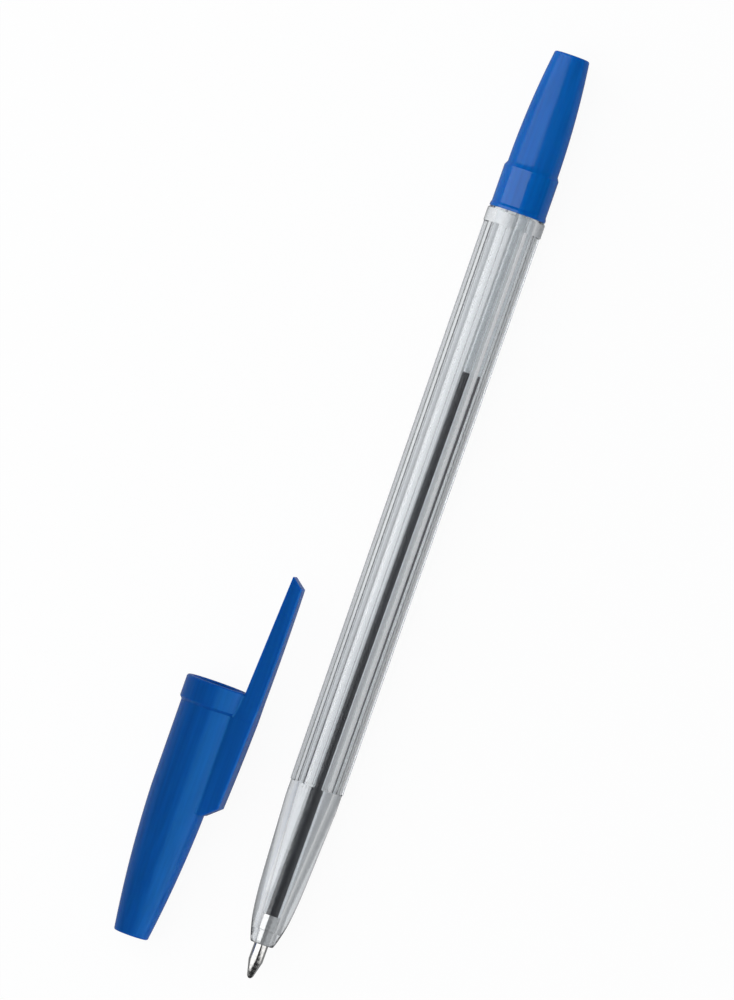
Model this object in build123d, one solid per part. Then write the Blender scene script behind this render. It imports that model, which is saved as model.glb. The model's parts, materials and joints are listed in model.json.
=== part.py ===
from build123d import *
import math
import os

# A stick ballpoint pen that lies on a table, with its cap taken off and laid beside it.
# Pieces of the pen are turned about the Y axis, with stations measured from the front of the ball.
# The cap is turned about the Y axis too, with stations measured from its closed end.
# Both are then laid on the table, z = 0, with the origin under the middle of the whole object.
# Lengths are in millimetres and angles in degrees.

# Fits shared by the whole pen
clearance = 0.03
slack = 0.07
overrun = 1.0
round_middle_share = math.sqrt(0.5)

# Lengths that add up to the pen: bare point, nose, hexagonal grip, collar and plug
point_reach = 5.4
nose_length = 24.9
grip_length = 88.7
collar_length = 2.4
plug_length = 25.1

# Writing ball and turned point
ball_radius = 0.4
ball_gap = 0.012
ball_show = 0.28
lip_wall = 0.06
point_radius = 1.1
cone_length = 2.5
shoulder_length = 2.4
feed_radius = 0.2
feed_length = 0.9
point_bore_radius = 0.4
meniscus_gap = 0.1

# Refill tube and its ink
tube_radius = 1.35
tube_bore_radius = 0.62
neck_radius = 0.85
neck_length = 1.6
ink_length = 86.3
end_play = 0.5

# Barrel: nose outline in shares of the nose, from its front edge to the straight seat of the cap
nose_radius = 4.03
nose_station_shares = (0.0, 0.06, 0.16, 0.3, 0.46, 0.7, 0.9)
nose_radius_shares = (0.435, 0.556, 0.697, 0.797, 0.861, 0.935, 1.0)
seat_depth = 2.3
guide_length = 3.0
flare_length = 20.3
bore_front_radius = 2.78
bore_rear_radius = 3.1
grip_sides = 6
corner_front = 4.23
corner_rear = 4.48
corner_chamfer = 0.4
collar_radius = 4.53
collar_chamfer = 0.35
tenon_radius = 3.7
tenon_length = 5.8
tenon_chamfer = 0.3

# Plug that sleeves over the tenon
lip_radius = 4.42
lip_length = 0.75
sleeve_radius = 4.29
sleeve_length = 6.5
step_length = 0.6
taper_radius = 3.97
taper_bulge_share = 0.24
plug_end_radius = 2.77
plug_end_round = 0.35
plug_end_wall = 6.5
cavity_radius = 2.84

# Cap shell
cap_length = 39.9
cap_end_radius = 2.7
cap_end_round = 0.3
cap_end_wall = 1.8
cap_body_radius = 4.57
cap_body_station = 22.5
cap_bulge_share = 0.674
cap_wall = 0.62
rim_radius = 4.95
rim_length = 3.9
rim_chamfer = 0.45
rim_round = 0.4
mouth_length = 5.2
mouth_taper = 1.1
mouth_chamfer = 0.25

# Pocket clip, with distances measured out from the cap's axis
clip_foot_station = 20.5
clip_foot_slope = 1.8
clip_foot_distance = 6.62
clip_bow_share = 0.926
clip_outer_distance = 7.43
clip_reach = 18.9
clip_end_slope = 1.4
clip_root_distance = 4.56
clip_tip_distance = 5.5
web_width = 5.6
blade_root_width = 4.2
blade_tip_width = 3.4
clip_round = 0.35

# How the cap lies beside the pen
cap_offset = 19.0
cap_setback = 0.3
cap_roll = 11.5

# Stations along the pen, from the front of the ball
nose_front = point_reach
seat_station = nose_front + seat_depth
barrel_front = nose_front + nose_length
collar_front = barrel_front + grip_length
collar_rear = collar_front + collar_length
tenon_rear = collar_rear + tenon_length
pen_length = collar_rear + plug_length
shoulder_front = seat_station + clearance
shoulder_rear = shoulder_front + shoulder_length
neck_front = shoulder_rear - neck_length
cavity_rear = pen_length - plug_end_wall
tube_rear = cavity_rear - end_play
ink_rear = shoulder_rear + ink_length

# The loose refill leans sideways, with its tail against the wall of the plug's cavity
lean_offset = cavity_radius - tube_radius - slack
refill_lean = math.degrees(math.atan(lean_offset / (tube_rear - shoulder_front)))

# The cap rests on the front edge of its rim and on the shoulder of its body
rim_edge_station = cap_length - rim_length + rim_chamfer
cap_rise = (rim_radius - cap_body_radius) / (rim_edge_station - cap_body_station)
cap_tilt = math.degrees(math.atan(cap_rise))

# Places of the two axes over the table
pen_x = (cap_offset + rim_radius - collar_radius) / 2
pen_y = -pen_length / 2
pen_z = collar_radius
cap_tilt_angle = math.radians(cap_tilt)
cap_z = rim_radius * math.cos(cap_tilt_angle) - rim_edge_station * math.sin(cap_tilt_angle)


def turned(*lines):
    """A solid turned about the Y axis, from lines that close an outline of radius and station."""
    edges = [edge for line in lines for edge in line.edges()]
    return revolve(make_face(edges), Axis.Y)


def turned_outline(*points):
    """A solid turned about the Y axis, from the corners of its outline."""
    return turned(Polyline(*points, points[0]))


def across(station):
    """A plane square to the pen at a station, with its x axis level."""
    return Plane(origin=(0, station, 0), x_dir=(1, 0, 0), z_dir=(0, 1, 0))


def hexagon(corner_radius, station):
    """A hexagon square to the pen, with flats above and below."""
    return across(station) * RegularPolygon(corner_radius, grip_sides)


def make_nose():
    """The solid ogive of the nose, which ends in a straight seat for the cap."""
    stations = [nose_front + nose_length * share for share in nose_station_shares]
    radii = [nose_radius * share for share in nose_radius_shares]
    curve = list(zip(radii, stations))
    return turned(
        Polyline((0, nose_front), curve[0]),
        Spline(*curve),
        Polyline(curve[-1], (nose_radius, barrel_front), (0, barrel_front), (0, nose_front)),
    )


def make_grip():
    """The tapered hexagon, with its front corners sloped down to the nose as a stop for the cap."""
    prism = loft([hexagon(corner_front, barrel_front), hexagon(corner_rear, collar_front)])
    slope_rear = barrel_front + corner_chamfer
    slope = turned_outline(
        (0, barrel_front),
        (nose_radius, barrel_front),
        (corner_rear, slope_rear),
        (corner_rear, collar_front),
        (0, collar_front),
    )
    return prism & slope


def make_collar_and_tenon():
    """The round collar behind the grip and the tenon that carries the plug."""
    return turned_outline(
        (0, collar_front),
        (collar_radius, collar_front),
        (collar_radius, collar_rear - collar_chamfer),
        (collar_radius - collar_chamfer, collar_rear),
        (tenon_radius, collar_rear),
        (tenon_radius, tenon_rear - tenon_chamfer),
        (tenon_radius - tenon_chamfer, tenon_rear),
        (0, tenon_rear),
    )


def make_bore():
    """The hole for the point, the guide for its shoulder and the wide bore, which widens to the rear."""
    hole_radius = point_radius + clearance
    guide_radius = tube_radius + slack
    guide_rear = seat_station + guide_length
    return turned_outline(
        (0, nose_front - overrun),
        (hole_radius, nose_front - overrun),
        (hole_radius, seat_station),
        (guide_radius, seat_station),
        (guide_radius, guide_rear),
        (bore_front_radius, guide_rear + flare_length),
        (bore_rear_radius, tenon_rear),
        (bore_rear_radius, tenon_rear + overrun),
        (0, tenon_rear + overrun),
    )


def make_barrel():
    """The clear barrel, moulded in one piece."""
    return make_nose() + make_grip() + make_collar_and_tenon() - make_bore()


def make_end_plug():
    """The hollow tail, with a lip, a sleeve over the tenon and a taper that the cap posts on."""
    sleeve_rear = collar_rear + sleeve_length
    taper_front = sleeve_rear + step_length
    taper_rear = pen_length - plug_end_round
    flat_radius = plug_end_radius - plug_end_round
    taper_middle = (taper_front + taper_rear) / 2
    bulge = taper_bulge_share * (taper_radius - plug_end_radius)
    middle_radius = (taper_radius + plug_end_radius) / 2 + bulge
    corner = plug_end_round * round_middle_share
    outside = turned(
        Polyline(
            (0, collar_rear),
            (lip_radius, collar_rear),
            (lip_radius, collar_rear + lip_length / 2),
            (sleeve_radius, collar_rear + lip_length),
            (sleeve_radius, sleeve_rear),
            (taper_radius, taper_front),
        ),
        ThreePointArc((taper_radius, taper_front), (middle_radius, taper_middle), (plug_end_radius, taper_rear)),
        ThreePointArc(
            (plug_end_radius, taper_rear),
            (flat_radius + corner, taper_rear + corner),
            (flat_radius, pen_length),
        ),
        Polyline((flat_radius, pen_length), (0, pen_length), (0, collar_rear)),
    )
    socket_radius = tenon_radius + clearance
    socket_rear = tenon_rear + clearance
    inside = turned_outline(
        (0, collar_rear - overrun),
        (socket_radius, collar_rear - overrun),
        (socket_radius, socket_rear),
        (cavity_radius, socket_rear),
        (cavity_radius, cavity_rear),
        (0, cavity_rear),
    )
    return outside - inside


def make_writing_ball():
    """The ball, with its front at station zero."""
    return Pos(0, ball_radius, 0) * Sphere(ball_radius)


def make_point_body():
    """The turned point: lip, cone, nose cylinder and shoulder, with its ball socket and ink bore."""
    socket_radius = ball_radius + ball_gap
    lip_depth = ball_radius - ball_show
    lip_hole = math.sqrt(socket_radius**2 - lip_depth**2)
    outside = turned_outline(
        (0, ball_show),
        (lip_hole + lip_wall, ball_show),
        (point_radius, ball_show + cone_length),
        (point_radius, shoulder_front),
        (tube_radius, shoulder_front),
        (tube_radius, shoulder_rear),
        (0, shoulder_rear),
    )
    feed_rear = 2 * ball_radius + feed_length
    bores = turned_outline(
        (0, ball_radius),
        (feed_radius, ball_radius),
        (feed_radius, feed_rear),
        (point_bore_radius, feed_rear),
        (point_bore_radius, neck_front),
        (neck_radius, neck_front),
        (neck_radius, shoulder_rear + overrun),
        (0, shoulder_rear + overrun),
    )
    socket = Pos(0, ball_radius, 0) * Sphere(socket_radius)
    return outside - bores - socket


def make_refill_tube():
    """The ink tube, with a neck that is pressed into the point's shoulder."""
    return turned_outline(
        (tube_bore_radius, neck_front),
        (neck_radius, neck_front),
        (neck_radius, shoulder_rear),
        (tube_radius, shoulder_rear),
        (tube_radius, tube_rear),
        (tube_bore_radius, tube_rear),
    )


def make_ink_column():
    """The ink, from just behind the ball to its level in the tube."""
    feed_front = 2 * ball_radius + ball_gap + meniscus_gap
    feed_rear = 2 * ball_radius + feed_length
    return turned_outline(
        (0, feed_front),
        (feed_radius, feed_front),
        (feed_radius, feed_rear),
        (point_bore_radius, feed_rear),
        (point_bore_radius, neck_front),
        (tube_bore_radius, neck_front),
        (tube_bore_radius, ink_rear),
        (0, ink_rear),
    )


def make_cap_outside():
    """The solid taper of the cap with its thick rim."""
    rim_station = cap_length - rim_length
    flat_radius = cap_end_radius - cap_end_round
    corner = cap_end_round * round_middle_share
    middle_station = (cap_end_round + cap_body_station) / 2
    middle_radius = cap_end_radius + cap_bulge_share * (cap_body_radius - cap_end_radius)
    rim_corner = rim_round * round_middle_share
    rim_straight = cap_length - rim_round
    return turned(
        Polyline((0, 0), (flat_radius, 0)),
        ThreePointArc(
            (flat_radius, 0),
            (flat_radius + corner, cap_end_round - corner),
            (cap_end_radius, cap_end_round),
        ),
        ThreePointArc(
            (cap_end_radius, cap_end_round),
            (middle_radius, middle_station),
            (cap_body_radius, cap_body_station),
        ),
        Polyline(
            (cap_body_radius, cap_body_station),
            (cap_body_radius, rim_station),
            (rim_radius, rim_edge_station),
            (rim_radius, rim_straight),
        ),
        ThreePointArc(
            (rim_radius, rim_straight),
            (rim_radius - rim_round + rim_corner, rim_straight + rim_corner),
            (rim_radius - rim_round, cap_length),
        ),
        Polyline((rim_radius - rim_round, cap_length), (0, cap_length), (0, 0)),
    )


def make_cap_inside():
    """The hollow of the cap: a straight mouth that grips the nose, then a taper along the wall."""
    mouth_radius = nose_radius + clearance
    mouth_station = cap_length - mouth_length
    hollow_radius = cap_body_radius - cap_wall
    end_radius = cap_end_radius - cap_wall
    middle_station = (cap_end_wall + cap_body_station) / 2
    middle_radius = end_radius + cap_bulge_share * (hollow_radius - end_radius)
    return turned(
        Polyline((0, cap_end_wall), (end_radius, cap_end_wall)),
        ThreePointArc(
            (end_radius, cap_end_wall),
            (middle_radius, middle_station),
            (hollow_radius, cap_body_station),
        ),
        Polyline(
            (hollow_radius, cap_body_station),
            (hollow_radius, mouth_station - mouth_taper),
            (mouth_radius, mouth_station),
            (mouth_radius, cap_length - mouth_chamfer),
            (mouth_radius + mouth_chamfer, cap_length),
            (mouth_radius + mouth_chamfer, cap_length + overrun),
            (0, cap_length + overrun),
            (0, cap_end_wall),
        ),
    )


def make_clip():
    """The pocket clip and its web: a side outline, cut to the width that it has from outside."""
    web_station = clip_foot_station + clip_foot_slope
    tip_station = cap_length + clip_reach
    end_station = tip_station - clip_end_slope
    bow_station = (web_station + end_station) / 2
    bow_distance = clip_foot_distance + clip_bow_share * (clip_outer_distance - clip_foot_distance)
    side_lines = (
        Polyline((0, clip_foot_station), (cap_body_radius, clip_foot_station), (clip_foot_distance, web_station)),
        ThreePointArc(
            (clip_foot_distance, web_station),
            (bow_distance, bow_station),
            (clip_outer_distance, end_station),
        ),
        Polyline(
            (clip_outer_distance, end_station),
            (clip_tip_distance, tip_station),
            (clip_root_distance, cap_length),
            (0, cap_length),
            (0, clip_foot_station),
        ),
    )
    side = make_face([edge for line in side_lines for edge in line.edges()])
    body = extrude(side, web_width / 2, both=True)
    rim_station = cap_length - rim_length
    half_outline = (
        (web_width / 2, clip_foot_station - overrun),
        (web_width / 2, rim_station),
        (blade_root_width / 2, cap_length),
        (blade_tip_width / 2, tip_station),
        (blade_tip_width / 2, tip_station + overrun),
    )
    plan_points = half_outline + tuple((-width, station) for width, station in reversed(half_outline))
    plan_plane = Plane(origin=(0, 0, 0), x_dir=(0, 0, 1), z_dir=(-1, 0, 0))
    plan = plan_plane * make_face(Polyline(*plan_points, plan_points[0]).edges())
    clip = body & extrude(plan, clip_outer_distance + overrun, both=True)
    outer_face = clip.faces().sort_by(Axis.X)[-1]
    return fillet(outer_face.edges(), clip_round)


def make_cap():
    """The cap with its clip, moulded in one piece."""
    return make_cap_outside() + make_clip() - make_cap_inside()


def lay_pen(piece):
    """Lays a piece of the pen on the table."""
    return Pos(pen_x, pen_y, pen_z) * piece


def lay_refill(piece):
    """Leans a piece of the refill about its seat in the nose, then lays it with the pen."""
    return lay_pen(Pos(0, shoulder_front, 0) * Rot(0, 0, -refill_lean) * Pos(0, -shoulder_front, 0) * piece)


def lay_cap(piece):
    """Lays the cap beside the pen, tilted on its rim, with the clip turned towards the pen."""
    place = Pos(pen_x - cap_offset, pen_y + cap_setback, cap_z)
    return place * Rot(cap_tilt, 0, 0) * Rot(0, -cap_roll, 0) * piece


os.makedirs("parts", exist_ok=True)
pieces = {
    "barrel": lay_pen(make_barrel()),
    "end_plug": lay_pen(make_end_plug()),
    "cap": lay_cap(make_cap()),
    "refill_tube": lay_refill(make_refill_tube()),
    "ink_column": lay_refill(make_ink_column()),
    "point_body": lay_refill(make_point_body()),
    "writing_ball": lay_refill(make_writing_ball()),
}
for name, piece in pieces.items():
    export_step(piece, f"parts/{name}.step")
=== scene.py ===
import json
import math

import bmesh
import bpy
from mathutils import Matrix, Vector


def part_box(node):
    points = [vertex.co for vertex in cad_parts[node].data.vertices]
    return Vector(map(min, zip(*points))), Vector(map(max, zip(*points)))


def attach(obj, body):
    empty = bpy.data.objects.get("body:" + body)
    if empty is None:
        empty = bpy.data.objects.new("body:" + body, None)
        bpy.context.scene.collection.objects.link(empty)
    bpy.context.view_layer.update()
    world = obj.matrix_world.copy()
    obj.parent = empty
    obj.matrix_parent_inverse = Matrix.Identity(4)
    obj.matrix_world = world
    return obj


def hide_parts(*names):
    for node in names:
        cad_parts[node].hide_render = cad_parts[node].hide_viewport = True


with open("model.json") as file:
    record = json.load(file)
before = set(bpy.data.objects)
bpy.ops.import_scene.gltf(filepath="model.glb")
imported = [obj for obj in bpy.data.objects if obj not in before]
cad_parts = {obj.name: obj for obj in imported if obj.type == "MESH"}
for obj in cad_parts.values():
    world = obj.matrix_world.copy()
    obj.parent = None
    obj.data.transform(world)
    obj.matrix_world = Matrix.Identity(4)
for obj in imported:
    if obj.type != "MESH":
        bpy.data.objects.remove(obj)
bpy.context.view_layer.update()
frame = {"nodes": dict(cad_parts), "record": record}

bl_info = {
    "name": "Stick Ballpoint Pen",
    "version": (1, 0, 0),
    "blender": (4, 5, 0),
    "location": "View3D > Sidebar > Pen",
    "description": "Dresses a clear stick ballpoint pen and its cap, laid on a pale studio floor",
    "category": "Object",
}

MM = 0.001

# Fineness of the meshes
ARC_STEPS = 8
CURVE_STEPS = 28
TURNED_SIDES = 144
FACET_STEPS = 18
SHARP_ANGLE = math.radians(32)

# Distances in metres under which points of a mesh are joined, when it is made and after a boolean
WELD_DISTANCE = 1e-7
SLIVER = 3e-6

# The camera's sensor in millimetres, which Blender fits to the long side of the picture
SENSOR = 36.0


def linear(code):
    """A linear colour from an sRGB hex code."""
    channels = [int(code[i:i + 2], 16) / 255 for i in (0, 2, 4)]
    return [c / 12.92 if c <= 0.04045 else ((c + 0.055) / 1.055) ** 2.4 for c in channels]


def length(name, description, millimetres):
    """A length property with its default in millimetres."""
    return bpy.props.FloatProperty(
        name=name, description=description, default=millimetres * MM, unit="LENGTH", precision=5
    )


def angle(name, description, degrees):
    """An angle property with its default in degrees."""
    return bpy.props.FloatProperty(
        name=name, description=description, default=math.radians(degrees), subtype="ANGLE"
    )


def share(name, description, default):
    """A property that is a share of a size or of a whole."""
    return bpy.props.FloatProperty(name=name, description=description, default=default, subtype="FACTOR")


def colour(name, description, code):
    """A colour property with its default as an sRGB hex code."""
    return bpy.props.FloatVectorProperty(
        name=name, description=description, default=linear(code), subtype="COLOR", min=0, max=1
    )


class PenSizes(bpy.types.PropertyGroup):
    """Stations along the pen, from the front of the ball, and the fits between its pieces."""
    point_reach: length("Point reach", "Bare metal in front of the nose", 5.4)
    nose_length: length("Nose length", "From the nose's front edge to the grip", 24.9)
    grip_length: length("Grip length", "Hexagonal stretch of the barrel", 88.7)
    collar_length: length("Collar length", "Round collar behind the grip", 2.4)
    tenon_length: length("Tenon length", "Clear tenon that carries the plug", 5.8)
    plug_length: length("Plug length", "From the collar to the pen's end", 25.1)
    seat_depth: length("Seat depth", "From the nose's front edge to the seat of the point", 2.3)
    clearance: length("Clearance", "Gap of a close fit", 0.03)
    slack: length("Slack", "Gap of a loose fit", 0.07)
    end_play: length("End play", "Gap behind the refill", 0.5)


class BarrelSizes(bpy.types.PropertyGroup):
    """Sizes of the clear barrel."""
    nose_radius: length("Nose radius", "Radius of the seat that the cap grips", 4.03)
    lip_round: length("Lip rounding", "Rounding of the nose's front edge", 0.22)
    corner_front: length("Front corner", "Corner radius of the grip at its front", 4.23)
    corner_rear: length("Rear corner", "Corner radius of the grip at its rear", 4.48)
    corner_round: length("Corner rounding", "Rounding along the grip's six edges", 0.35)
    facet_hollow: length("Facet hollow", "Sink in the middle of the grip's facets", 0.04)
    corner_slope: length("Corner slope", "Length of the slope in front of the corners", 0.4)
    collar_radius: length("Collar radius", "Radius of the collar", 4.53)
    collar_chamfer: length("Collar chamfer", "Chamfer of the collar's rear edge", 0.35)
    collar_round: length("Collar rounding", "Rounding of the collar's edges", 0.12)
    tenon_radius: length("Tenon radius", "Radius of the tenon", 3.7)
    tenon_chamfer: length("Tenon chamfer", "Chamfer of the tenon's end", 0.3)
    bore_front: length("Front bore", "Radius of the wide bore at its front", 2.78)
    bore_rear: length("Rear bore", "Radius of the wide bore at its rear", 3.1)
    guide_length: length("Guide length", "Narrow bore round the point's shoulder", 3.0)
    flare_length: length("Flare length", "Stretch where the bore widens", 20.3)


class RefillSizes(bpy.types.PropertyGroup):
    """Sizes of the refill: point, tube and ink."""
    ball_radius: length("Ball radius", "Radius of the writing ball", 0.4)
    ball_gap: length("Ball gap", "Running gap round the ball", 0.012)
    ball_show: length("Ball show", "How far the ball stands out of the lip", 0.28)
    lip_wall: length("Lip wall", "Wall of the lip round the ball", 0.06)
    point_radius: length("Point radius", "Radius of the point's cylinder", 1.1)
    cone_length: length("Cone length", "Length of the point's cone", 2.5)
    shoulder_length: length("Shoulder length", "Length of the point's shoulder", 2.4)
    edge_round: length("Edge rounding", "Rounding of the turned edges", 0.07)
    feed_radius: length("Feed radius", "Ink channel behind the ball", 0.2)
    feed_length: length("Feed length", "Length of the ink channel", 0.9)
    point_bore_radius: length("Point bore radius", "Ink bore of the point", 0.4)
    meniscus_gap: length("Ink gap", "From the ball to the ink", 0.1)
    tube_radius: length("Tube radius", "Radius of the ink tube", 1.35)
    tube_bore_radius: length("Tube bore radius", "Bore of the ink tube", 0.62)
    neck_radius: length("Neck radius", "Neck pressed into the point", 0.85)
    neck_length: length("Neck length", "Length of that neck", 1.6)
    ink_length: length("Ink length", "From the shoulder to the ink's level", 86.3)
    ink_wetting: length("Ink wetting", "How far the ink wets into the tube's wall", 0.005)
    ink_dish: length("Ink dish", "Depth of the ink's dished level", 0.15)


class PlugSizes(bpy.types.PropertyGroup):
    """Sizes of the blue plug at the pen's end."""
    lip_radius: length("Lip radius", "Radius of the lip against the collar", 4.42)
    lip_length: length("Lip length", "Length of the lip with its slope", 0.75)
    sleeve_radius: length("Sleeve radius", "Radius of the sleeve over the tenon", 4.29)
    sleeve_length: length("Sleeve length", "Length of the sleeve", 6.5)
    step_length: length("Step length", "Slope from the sleeve to the taper", 0.6)
    taper_radius: length("Taper radius", "Radius at the taper's front", 3.97)
    taper_bulge_share: share("Taper bulge", "How far the taper bulges", 0.24)
    end_radius: length("End radius", "Radius at the pen's end", 2.77)
    end_round: length("End rounding", "Rounding of the pen's end", 0.35)
    end_wall: length("End wall", "Solid end behind the refill", 6.5)
    edge_round: length("Edge rounding", "Rounding of the moulded edges", 0.08)
    cavity_radius: length("Cavity radius", "Hole for the refill's tail", 2.84)


class CapSizes(bpy.types.PropertyGroup):
    """Sizes of the blue cap and its clip, from the closed end."""
    cap_length: length("Cap length", "From the closed end to the mouth", 39.9)
    end_radius: length("End radius", "Radius of the closed end", 2.7)
    end_round: length("End rounding", "Rounding of the closed end", 0.3)
    end_wall: length("End wall", "Wall of the closed end", 1.8)
    body_radius: length("Body radius", "Radius of the straight body", 4.57)
    body_station: length("Body station", "Where the taper meets the straight body", 22.5)
    bulge_share: share("Bulge", "How far the taper bulges", 0.674)
    wall: length("Wall", "Wall of the body", 0.62)
    rim_radius: length("Rim radius", "Radius of the rim", 4.95)
    rim_length: length("Rim length", "Length of the rim", 3.9)
    rim_chamfer: length("Rim chamfer", "Slope from the body to the rim", 0.45)
    rim_round: length("Rim rounding", "Rounding of the mouth's outer edge", 0.4)
    mouth_length: length("Mouth length", "Straight mouth that grips the nose", 5.2)
    mouth_taper: length("Mouth taper", "Slope from the mouth to the hollow", 1.1)
    mouth_chamfer: length("Mouth chamfer", "Chamfer inside the mouth", 0.25)
    clip_foot_station: length("Clip foot station", "Where the clip's web starts", 20.5)
    clip_foot_slope: length("Clip foot slope", "Length of the web's sloped end", 1.8)
    clip_foot_distance: length("Clip foot distance", "Outside of the web at its foot", 6.62)
    clip_bow_share: share("Clip bow", "How far the clip's back is bowed", 0.926)
    clip_outer_distance: length("Clip outer distance", "Outside of the clip at its end", 7.43)
    clip_reach: length("Clip reach", "How far the clip runs past the mouth", 18.9)
    clip_end_slope: length("Clip end slope", "Slant of the clip's end", 1.4)
    clip_root_distance: length("Clip root distance", "Inside of the clip at the mouth", 4.56)
    clip_tip_distance: length("Clip tip distance", "Inside of the clip at its tip", 5.5)
    web_width: length("Web width", "Width of the web", 5.6)
    blade_root_width: length("Blade root width", "Width of the clip at the mouth", 4.2)
    blade_tip_width: length("Blade tip width", "Width of the clip at its tip", 3.4)
    clip_round: length("Clip rounding", "Rounding of the clip's outer edges", 0.35)
    root_round: length("Root rounding", "Fillet where the web stands on the cap", 0.5)
    tip_edge: length("Tip edge", "Thickness left at the slanted tip", 0.1)
    roll: angle("Roll", "How far the clip is raised off level", 11.5)


class PenColours(bpy.types.PropertyGroup):
    """Colours of the pen's materials."""
    styrene: colour("Clear styrene", "Tint of the clear barrel", "f8f9fa")
    styrene_streak: colour("Styrene streak", "Tint of the barrel's flow streaks", "eff2f4")
    styrene_shade: colour("Styrene shade", "Lamp light that the barrel lets through", "d0d5d9")
    plug_blue: colour("Plug blue", "Plastic of the plug", "005bac")
    plug_sheen: colour("Plug sheen", "Tint of the plug's gloss", "f0f6ff")
    cap_blue: colour("Cap blue", "Plastic of the cap", "105bb0")
    cap_sheen: colour("Cap sheen", "Tint of the cap's gloss", "60d0ff")
    tube: colour("Natural polypropylene", "Ink tube", "f6f8f9")
    tube_shade: colour("Tube shade", "Lamp light that the ink tube lets through", "d9dde0")
    ink: colour("Ink", "Paste ink", "12141c")
    ink_thin: colour("Thin ink", "Ink where it lies thin on the wall", "252732")
    nickel: colour("Nickel silver", "Turned point", "d3d2d0")
    carbide: colour("Carbide", "Writing ball", "8d8d90")
    floor: colour("Floor", "Pale studio paper", "f2f3f4")
    room: colour("Room", "Light of the room", "f6f8fb")


class StageSizes(bpy.types.PropertyGroup):
    """Camera, floor and the shade painted on the floor as the barrel shows it."""
    camera_distance: length("Camera distance", "From the camera to the middle of the view", 1400)
    frame_height: length("Frame height", "Height of the view at the pen", 149.93)
    camera_tilt: angle("Camera tilt", "How far the camera stands left of straight above", 3.5)
    camera_roll: angle("Camera roll", "How far the pen leans to the right in the view", 19.29)
    aim_station: length("Aim station", "Middle of the view along the pen", 73.5)
    aim_left: length("Aim left", "Middle of the view, left of the pen", 7.09)
    floor_size: length("Floor size", "Side of the studio floor", 4000)
    # Painted shade on the floor, seen only through clear plastic in place of the pen's shadow: where it
    # starts to darken, is darkest, starts to ease and ends, right of the pen
    painted_shade_start: length("Shade start", "Right of the pen, where the floor starts to darken", -2)
    painted_shade_end: length("Shade end", "Right of the pen, where the floor is darkest", 5)
    painted_shade_fade_start: length("Light start", "Right of the pen, where the floor starts to lighten", 9)
    painted_shade_fade_end: length("Light end", "Right of the pen, where the floor is light again", 14)


SETTINGS = {
    "pen_sizes": PenSizes,
    "pen_barrel": BarrelSizes,
    "pen_refill": RefillSizes,
    "pen_plug": PlugSizes,
    "pen_cap": CapSizes,
    "pen_colours": PenColours,
    "pen_stage": StageSizes,
}


class Stations:
    """Places along the pen, worked out from its sizes."""

    def __init__(self, scene):
        pen, refill, plug = scene.pen_sizes, scene.pen_refill, scene.pen_plug
        self.nose_front = pen.point_reach
        self.seat = self.nose_front + pen.seat_depth
        self.grip_front = self.nose_front + pen.nose_length
        self.collar_front = self.grip_front + pen.grip_length
        self.collar_rear = self.collar_front + pen.collar_length
        self.tenon_rear = self.collar_rear + pen.tenon_length
        self.pen_rear = self.collar_rear + pen.plug_length
        self.shoulder_front = self.seat + pen.clearance
        self.shoulder_rear = self.shoulder_front + refill.shoulder_length
        self.neck_front = self.shoulder_rear - refill.neck_length
        self.cavity_rear = self.pen_rear - plug.end_wall
        self.tube_rear = self.cavity_rear - pen.end_play
        self.ink_rear = self.shoulder_rear + refill.ink_length
        lean_offset = plug.cavity_radius - refill.tube_radius - pen.slack
        self.lean = math.atan(lean_offset / (self.tube_rear - self.shoulder_front))


# Places in the frame


def pen_place():
    """Where the pen's own frame lies: its axis in the middle of the barrel, and station zero at the ball."""
    low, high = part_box("barrel")
    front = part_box("writing_ball")[0].y
    return Matrix.Translation(((low.x + high.x) / 2, front, (low.z + high.z) / 2))


def refill_place(stations):
    """Where the refill lies: in the pen, leaning about its seat."""
    pivot = Matrix.Translation((0, stations.shoulder_front, 0))
    return pen_place() @ pivot @ Matrix.Rotation(-stations.lean, 4, "Z") @ pivot.inverted()


def cap_place(cap):
    """Where the cap lies: along the axis of its mouth, with the clip rolled off level."""
    mount = next(m for m in frame["record"]["mounts"] if m["name"] == "cap_mouth")
    axis = Vector(mount["axis"]).normalized()
    mouth_middle = cap.cap_length - (cap.mouth_length + cap.mouth_chamfer) / 2
    start = Vector(mount["pos_m"]) - axis * mouth_middle
    tilt = Matrix.Rotation(math.atan2(axis.z, axis.y), 4, "X")
    return Matrix.Translation(start) @ tilt @ Matrix.Rotation(-cap.roll, 4, "Y")


# Outlines, as points of radius and station


def arc(start, middle, end, steps=ARC_STEPS):
    """Points on the arc through three points, with both ends."""
    (ax, ay), (bx, by), (cx, cy) = start, middle, end
    twice_area = 2 * (ax * (by - cy) + bx * (cy - ay) + cx * (ay - by))
    a, b, c = ax * ax + ay * ay, bx * bx + by * by, cx * cx + cy * cy
    x = (a * (by - cy) + b * (cy - ay) + c * (ay - by)) / twice_area
    y = (a * (cx - bx) + b * (ax - cx) + c * (bx - ax)) / twice_area
    first, via, last = (math.atan2(py - y, px - x) for px, py in (start, middle, end))
    sweep = (last - first) % math.tau
    if (via - first) % math.tau > sweep:
        sweep -= math.tau
    radius = math.hypot(ax - x, ay - y)
    turns = [first + sweep * i / steps for i in range(steps + 1)]
    return [(x + radius * math.cos(turn), y + radius * math.sin(turn)) for turn in turns]


def spline(points):
    """Points on a smooth curve through the given ones."""
    knots = [Vector(p) for p in points]
    slopes = [(after - before) / 2 for before, after in zip(knots, knots[2:])]
    slopes = [2 * (knots[1] - knots[0]) - slopes[0], *slopes, 2 * (knots[-1] - knots[-2]) - slopes[-1]]
    curve = [knots[0]]
    for i in range(len(knots) - 1):
        for step in range(1, CURVE_STEPS + 1):
            t = step / CURVE_STEPS
            curve.append(
                knots[i] * (2 * t**3 - 3 * t**2 + 1) + slopes[i] * (t**3 - 2 * t**2 + t)
                + knots[i + 1] * (3 * t**2 - 2 * t**3) + slopes[i + 1] * (t**3 - t**2)
            )
    return [tuple(p) for p in curve]


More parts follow.
